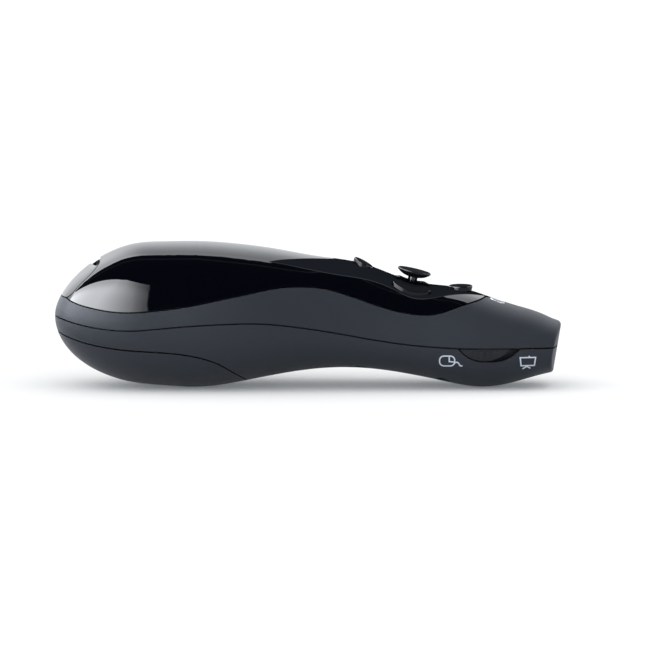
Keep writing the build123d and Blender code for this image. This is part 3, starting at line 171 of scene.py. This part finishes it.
def matte_grey():
    """Soft-touch grey with a spark-eroded grain, a little shinier at the tail and on the nose's face."""
    material, sheet, apply = finish("matte_grey", IOR=1.45, Specular_IOR_Level=0.13, Coat_Roughness=0.35)
    grain = sheet.noise(7000.0, 2.0, 0.6)
    cloud = sheet.noise(38.0, 4.0, 0.6)
    ahead = sheet.towards((1.0, 0.0, 0.0))
    along, _, _ = sheet.parts(sheet.place())
    nose_shine = ahead.step(0.93, 0.97, 0.0, 0.05)
    tail_shine = along.step(-55.0 * MM, 10.0 * MM, 0.14, 0.0)
    apply(Base_Color=sheet.tint(cloud, (0.0252, 0.0300, 0.0388), (0.0294, 0.0341, 0.0430)),
          Roughness=cloud.step(*CLOUD_SPAN, 0.42, 0.48),
          Coat_Weight=nose_shine + tail_shine,
          Normal=sheet.bump(grain, 0.02 * MM, 0.35))
    return material


def panel_black():
    """Satin panel under the keys: etched, so it stays dark in a bright room, with polished side edges."""
    material, sheet, apply = finish("panel_black", Specular_IOR_Level=0.0, Coat_Roughness=0.10)
    cloud = sheet.noise(60.0, 3.0, 0.6)
    across = sheet.towards((0.0, 1.0, 0.0))
    apply(Base_Color=sheet.tint(cloud, (0.0080, 0.0100, 0.0135), (0.0110, 0.0130, 0.0170)),
          Roughness=cloud.step(*CLOUD_SPAN, 0.32, 0.42),
          Coat_Weight=across.maths("ABSOLUTE").step(0.66, 0.78),
          Normal=sheet.bump(sheet.noise(ETCHING, 2.0), 0.012 * MM, 0.35))
    return material


def key_black(name, axis, low, high, top_shine=0.02, turn=(0.60, 0.82), rim_shine=1.0, wall_shine=0.3):
    """A key: an etched top that faces along the axis, a polished rim where it turns down, duller walls."""
    material, sheet, apply = finish(name, Specular_IOR_Level=0.0, Coat_Roughness=0.06, Coat_IOR=1.5)
    cloud = sheet.noise(240.0, 3.0, 0.6)
    top = sheet.towards(axis)
    apply(Base_Color=sheet.tint(cloud, low, high),
          Roughness=cloud.step(*CLOUD_SPAN, 0.34, 0.44),
          Coat_Weight=top.step(*turn, rim_shine, top_shine).least(top.step(0.15, 0.40, wall_shine, 1.0)),
          Normal=sheet.bump(sheet.noise(ETCHING, 2.0), 0.010 * MM, 0.3))
    return material


def ringed_smoke():
    """Smoked lamp lens with a thin plated line where each long edge turns down."""
    material, sheet, apply = finish("smoke", IOR=1.45, Specular_IOR_Level=0.1)
    cloud = sheet.noise(240.0, 3.0, 0.6)
    top, across = sheet.towards(lean(LAMP_SLOPE)), sheet.towards((0.0, 1.0, 0.0))
    plating = top.step(0.93, 0.97, 1.0, 0.0) * across.maths("ABSOLUTE").step(0.10, 0.18)
    glass = sheet.tint(cloud, (0.004, 0.005, 0.008), (0.006, 0.007, 0.011))
    apply(Base_Color=sheet.tint(plating, glass, (0.80, 0.82, 0.85)),
          Metallic=plating,
          Roughness=cloud.step(*CLOUD_SPAN, 0.08, 0.12),
          Normal=sheet.bump(sheet.noise(ETCHING, 2.0), 0.006 * MM, 0.3))
    return material


def plain(name, low, high, roughness, metallic=0.0, **given):
    """A moulded, plated or painted finish: two close tones, slightly uneven sheen and a fine grain."""
    material, sheet, apply = finish(name, Metallic=metallic, **given)
    cells = 300.0
    cloud = sheet.noise(cells, 3.0, 0.6)
    apply(Base_Color=sheet.tint(cloud, low, high),
          Roughness=cloud.step(*CLOUD_SPAN, roughness * 0.85, roughness * 1.15),
          Normal=sheet.bump(sheet.noise(9 * cells, 2.0), 0.008 * MM, 0.4))
    return material


def circuit_green():
    """Solder mask over copper: paler tracks in two directions under an uneven gloss."""
    material, sheet, apply = finish("circuit_green")
    x, y, _ = sheet.parts(sheet.place())
    pitch = 4200.0  # radians for each metre: a track every 1.5 mm
    cell = sheet.noise(160.0, 1.0)
    track = ((x * pitch).maths("SINE") * (cell - 0.5)).most((y * pitch).maths("SINE") * (0.5 - cell))
    apply(Base_Color=sheet.tint(track.step(0.05, 0.08), (0.012, 0.085, 0.035), (0.030, 0.150, 0.060)),
          Roughness=cell.step(*CLOUD_SPAN, 0.28, 0.40),
          Normal=sheet.bump(track.step(0.03, 0.10), 0.03 * MM, 0.5))
    return material


key_tones = (0.0055, 0.0068, 0.0095), (0.0080, 0.0092, 0.0120)
finishes = {
    "piano_black": gloss_black(),
    "soft_grey": matte_grey(),
    "key_black": key_black("key_black", lean(STICK_SLOPE), *key_tones),
    "stick_black": key_black("stick_black", lean(STICK_SLOPE), (0.0095, 0.0110, 0.0140),
                             (0.0130, 0.0150, 0.0185), turn=(0.75, 0.95), rim_shine=0.5, wall_shine=0.5),
    "stem_black": plain("stem_black", (0.002, 0.003, 0.005), (0.004, 0.005, 0.007), 0.10),
    "acetal": plain("acetal", (0.70, 0.69, 0.65), (0.78, 0.77, 0.73), 0.45),
    "steel": plain("steel", (0.50, 0.50, 0.52), (0.62, 0.62, 0.64), 0.30, 1.0),
    "board_green": circuit_green(),
    "switch_black": plain("switch_black", (0.012, 0.012, 0.013), (0.02, 0.02, 0.022), 0.5),
    "chip_black": plain("chip_black", (0.012, 0.012, 0.014), (0.02, 0.02, 0.023), 0.55),
    "tin": plain("tin", (0.60, 0.60, 0.62), (0.70, 0.70, 0.72), 0.28, 1.0),
    "led": plain("led", (0.80, 0.85, 0.78), (0.88, 0.92, 0.86), 0.25),
    "polyimide": plain("polyimide", (0.45, 0.17, 0.03), (0.55, 0.23, 0.05), 0.3),
    "cell_jacket": plain("cell_jacket", (0.05, 0.06, 0.09), (0.08, 0.09, 0.13), 0.3),
    "tray_black": plain("tray_black", (0.012, 0.012, 0.013), (0.02, 0.02, 0.022), 0.55),
    "plug_steel": plain("plug_steel", (0.62, 0.62, 0.64), (0.72, 0.72, 0.74), 0.18, 1.0),
    "tongue_white": plain("tongue_white", (0.72, 0.72, 0.70), (0.80, 0.80, 0.78), 0.45),
    "gold": plain("gold", (0.75, 0.50, 0.15), (0.85, 0.60, 0.22), 0.2, 1.0),
    "brass": plain("brass", (0.55, 0.38, 0.14), (0.68, 0.48, 0.19), 0.3, 1.0),
    "lens": plain("lens", (0.85, 0.90, 0.95), (0.9, 0.94, 0.98), 0.05),
    "chrome": plain("chrome", (0.70, 0.70, 0.72), (0.78, 0.78, 0.80), 0.10, 1.0),
    "dark_window": plain("dark_window", (0.010, 0.002, 0.003), (0.016, 0.003, 0.005), 0.06),
    "smoke": ringed_smoke(),
}
own_finish = {"control_panel": panel_black(),
              "housing_screws": plain("black_oxide", (0.010, 0.010, 0.011), (0.016, 0.016, 0.018), 0.5,
                                      Specular_IOR_Level=0.2),
              "mode_slider": plain("slider_grey", (0.0130, 0.0155, 0.0200), (0.0160, 0.0185, 0.0240), 0.42,
                                   Specular_IOR_Level=0.2),
              "rear_key": key_black("rear_key_black", lean(REAR_KEY_SLOPE), *key_tones),
              "front_key": key_black("front_key_black", lean(FRONT_KEY_SLOPE), *key_tones)}
ink = plain("printed_ink", (0.52, 0.60, 0.70), (0.60, 0.68, 0.78), 0.5, Specular_IOR_Level=0.2)
slots = {entry["node"]: entry["material_slot"] for entry in frame["record"]["subparts"]}
for name, piece in frame["nodes"].items():
    piece.data.materials.clear()
    piece.data.materials.append(own_finish.get(name, finishes[slots[name]]))


# ---- Softened edges: a narrow round where two moulded faces meet, so that edges catch the light -----
def soften(name, width):
    """Rounds the sharp edges of a CAD piece with a modifier; its own mesh stays as it is."""
    edge = frame["nodes"][name].modifiers.new("edge", "BEVEL")
    edge.width = width
    edge.segments = 2
    edge.limit_method = "ANGLE"
    edge.angle_limit = math.radians(40)
    edge.harden_normals = True


edge_widths = {"rear_key": 0.10, "front_key": 0.10, "right_key": 0.10, "left_key": 0.10, "stick_cap": 0.08,
               "control_panel": 0.12, "receiver_cap": 0.20, "top_cover": 0.10}  # millimetres
for name, width in edge_widths.items():
    soften(name, width * MM)


# ---- Printed symbols ----------------------------------------------------------------------------------
def surface_of(name):
    """A search tree over a CAD piece."""
    form = bmesh.new()
    form.from_mesh(frame["nodes"][name].data)
    tree = BVHTree.FromBMesh(form)
    form.free()
    return tree


LINE = 0.34 * MM  # a stroke's width
PIECE = 0.3 * MM  # its length between two rows of points
LIFT = 0.02 * MM  # how far the ink lies off the wall
INK_DEPTH = 1.5 * LIFT
OUTSIDE = -50.0 * MM  # a place beside the body, from where the wall is looked for


def print_symbol(name, strokes, skin):
    """Ink ribbons on the side wall along strokes: each says if it is closed, then its corners (x, z) in mm."""
    form = bmesh.new()

    def on_wall(x, z):
        hit, facing, _, _ = skin.ray_cast(Vector((x, OUTSIDE, z)), Vector((0, 1, 0)))
        return form.verts.new(hit + facing * LIFT)

    for closed, corners in strokes:
        corners = [Vector(corner) * MM for corner in corners]
        if closed:
            corners.append(corners[0])
        points = [corners[0]]
        for start, end in zip(corners, corners[1:]):
            count = max(1, round((end - start).length / PIECE))
            points += [start.lerp(end, step / count) for step in range(1, count + 1)]
        if closed:
            points.pop()
        rows = []
        last = len(points) - 1
        for place, point in enumerate(points):
            before = points[place - 1] if closed or place else point
            after = points[(place + 1) % len(points)] if closed or place < last else point
            run_in, run_out = (point - before).normalized(), (after - point).normalized()
            along = (run_in + run_out).normalized()
            out = Vector((-along.y, along.x))
            bend = max(0.5, along.dot(run_out if run_out.length else run_in))  # a corner's row is wider
            rows.append([on_wall(*(point + side * out * LINE / 2 / bend)) for side in (-1, 1)])
        for first, second in zip(rows, rows[1:] + (rows[:1] if closed else [])):
            form.faces.new((first[0], second[0], second[1], first[1]))
    bmesh.ops.recalc_face_normals(form, faces=form.faces)
    mesh = bpy.data.meshes.new(name)
    form.to_mesh(mesh)
    form.free()
    symbol = bpy.data.objects.new(name, mesh)
    bpy.context.scene.collection.objects.link(symbol)
    thick = symbol.modifiers.new("ink", "SOLIDIFY")
    thick.thickness = INK_DEPTH
    thick.offset = 0.0
    mesh.materials.append(ink)
    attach(symbol, "body")


def rounded(left, right, low, high, radius):
    """A box with round corners, as points."""
    steps = 5
    points = []
    for turn, (x, z) in enumerate([(right - radius, high - radius), (left + radius, high - radius),
                                   (left + radius, low + radius), (right - radius, low + radius)]):
        for step in range(steps + 1):
            angle = math.pi / 2 * (turn + step / steps)
            points.append((x + radius * math.cos(angle), z + radius * math.sin(angle)))
    return points


mouse = [(True, rounded(34.95, 38.95, 6.9, 9.65, 1.15)),
         (False, [(37.5, 9.6), (37.5, 8.15), (38.9, 8.0)]),
         (False, [(39.0, 7.75), (39.35, 7.95), (39.75, 7.9), (40.1, 7.5), (40.25, 7.15), (40.6, 6.9),
                  (41.0, 6.95)])]
screen = [(True, [(56.35, 9.05), (60.45, 9.05), (60.15, 6.8), (56.6, 6.8)]),
          (False, [(58.75, 9.1), (58.75, 9.5)]),
          (False, [(57.0, 5.9), (58.15, 6.6), (59.1, 6.0)])]
lower_skin = surface_of("lower_housing")
print_symbol("mouse_symbol", mouse, lower_skin)
print_symbol("screen_symbol", screen, lower_skin)


# ---- Room: a white wall behind, a broad soft panel to the left, dark above and in front --------------
def light_room():
    """Mirrored rays see the wall and the panel, rays off dull surfaces a plain soft sky, the camera white."""
    world = bpy.data.worlds.new("studio")
    bpy.context.scene.world = world
    world.use_nodes = True
    world.cycles.sampling_method = "NONE"  # light sampled on its own would not know which ray it serves
    sheet = Sheet(world.node_tree)
    x, y, z = sheet.parts(sheet.add("ShaderNodeTexCoord", output="Generated"))
    up = z.most(NEAR_ZERO)
    level = (x * x + y * y).maths("SQRT").most(NEAR_ZERO)
    # the wall behind: its top edge runs askew overhead, and it is brighter up there and to the left
    rear = y / up - 0.49 + 0.38 * (x / up)
    wall = rear.step(-0.01, 0.01)
    to_left = (x / level).step(-0.50, -0.08, 1.75, 1.0)
    upwards = z.step(0.05, 0.60, 1.25, 2.35)
    top_glow = rear.step(0.0, 0.22, 0.6, 0.0)
    wall_light = wall * to_left * (upwards + top_glow)
    # the soft panel stands 40 degrees from the tail's side to the front, and brightens to the left
    ahead = (-0.766 * x - 0.643 * y).most(NEAR_ZERO)
    aside = (0.643 * x - 0.766 * y) / ahead
    height = z / ahead
    right_edge = aside - 0.06 * (1.8 - height).most(0.0)
    cut_corner = aside.step(0.905, 0.95) * 0.25
    top_edge = height + cut_corner - 0.8 * (aside - 0.86).most(0.0)
    inside = right_edge.step(0.905, 0.930, 1.0, 0.0) * top_edge.step(1.73, 1.80, 1.0, 0.0)
    panel = ((-15.0 * x / level).least(13.0).most(0.6) * inside
             * height.step(0.9, 1.6, 1.0, 0.62) * (1 - wall))
    # a faint strip overhead, a little before the wall's top edge
    strip = (rear + 0.22).maths("ABSOLUTE").step(0.008, 0.02, 1.0, 0.0) * 0.2
    glossy = wall_light * 0.85 + panel + strip + 0.03
    # the plain sky: lighter from the left and from the front
    soft = 1.10 - 0.22 * x - 0.35 * y
    seen = sheet.add("ShaderNodeLightPath", output="Is Camera Ray")
    diffuse = sheet.add("ShaderNodeLightPath", output="Is Diffuse Ray")
    strength = seen + (1 - seen) * (glossy * (1 - diffuse) + soft * diffuse)
    cast = sheet.tint(seen.most(diffuse), (0.955, 0.98, 1.02), (1.0, 1.0, 1.0))
    background = sheet.add("ShaderNodeBackground", inputs={"Color": cast, "Strength": strength})
    out = sheet.tree.nodes.new("ShaderNodeOutputWorld")
    sheet.tree.links.new(background.socket, out.inputs["Surface"])


def lay_floor():
    """A wide white table top, which bounces a little less than it shows and keeps its shadow pale."""
    reach = 6.0
    clearance = 0.03 * MM
    mesh = bpy.data.meshes.new("floor")
    form = bmesh.new()
    bmesh.ops.create_grid(form, x_segments=8, y_segments=8, size=reach)
    form.to_mesh(mesh)
    form.free()
    floor = bpy.data.objects.new("floor", mesh)
    bpy.context.scene.collection.objects.link(floor)
    floor.location.z = -clearance
    material, sheet, apply = finish("table", Roughness=0.9, Specular_IOR_Level=0.0)
    seen = sheet.add("ShaderNodeLightPath", output="Is Camera Ray")
    mirrored = sheet.add("ShaderNodeLightPath", output="Is Glossy Ray")
    through = sheet.add("ShaderNodeLightPath", output="Is Transmission Ray")
    white = seen.most(mirrored).most(through)
    apply(Base_Color=sheet.tint(white, (0.62, 0.62, 0.63), (0.85, 0.85, 0.85)),
          Emission_Color=sheet.tint(white, (0.0, 0.0, 0.0), (0.14, 0.15, 0.16)), Emission_Strength=1.0)
    mesh.materials.append(material)


def aim_camera():
    """A long lens on the long side, raised a little."""
    pixel = 0.2668 * MM  # the size of a pixel at the object
    side = 650  # pixels along each side of the render
    middle_x, ground_y = 308.0, 385.5  # the pixel of the frame's origin
    raise_angle = math.radians(6.25)
    distance = 2.6
    target = Vector(((side / 2 - middle_x) * pixel, 0, (ground_y - side / 2) * pixel / math.cos(raise_angle)))
    camera = bpy.data.cameras.new("camera")
    camera.sensor_width = 36.0
    camera.lens = camera.sensor_width * distance / (side * pixel)
    camera.clip_end = 50.0
    holder = bpy.data.objects.new("camera", camera)
    bpy.context.scene.collection.objects.link(holder)
    holder.location = target + distance * Vector((0, -math.cos(raise_angle), math.sin(raise_angle)))
    holder.rotation_euler = (math.pi / 2 - raise_angle, 0, 0)
    bpy.context.scene.camera = holder


light_room()
lay_floor()
aim_camera()
bpy.context.scene.view_settings.view_transform = "Standard"
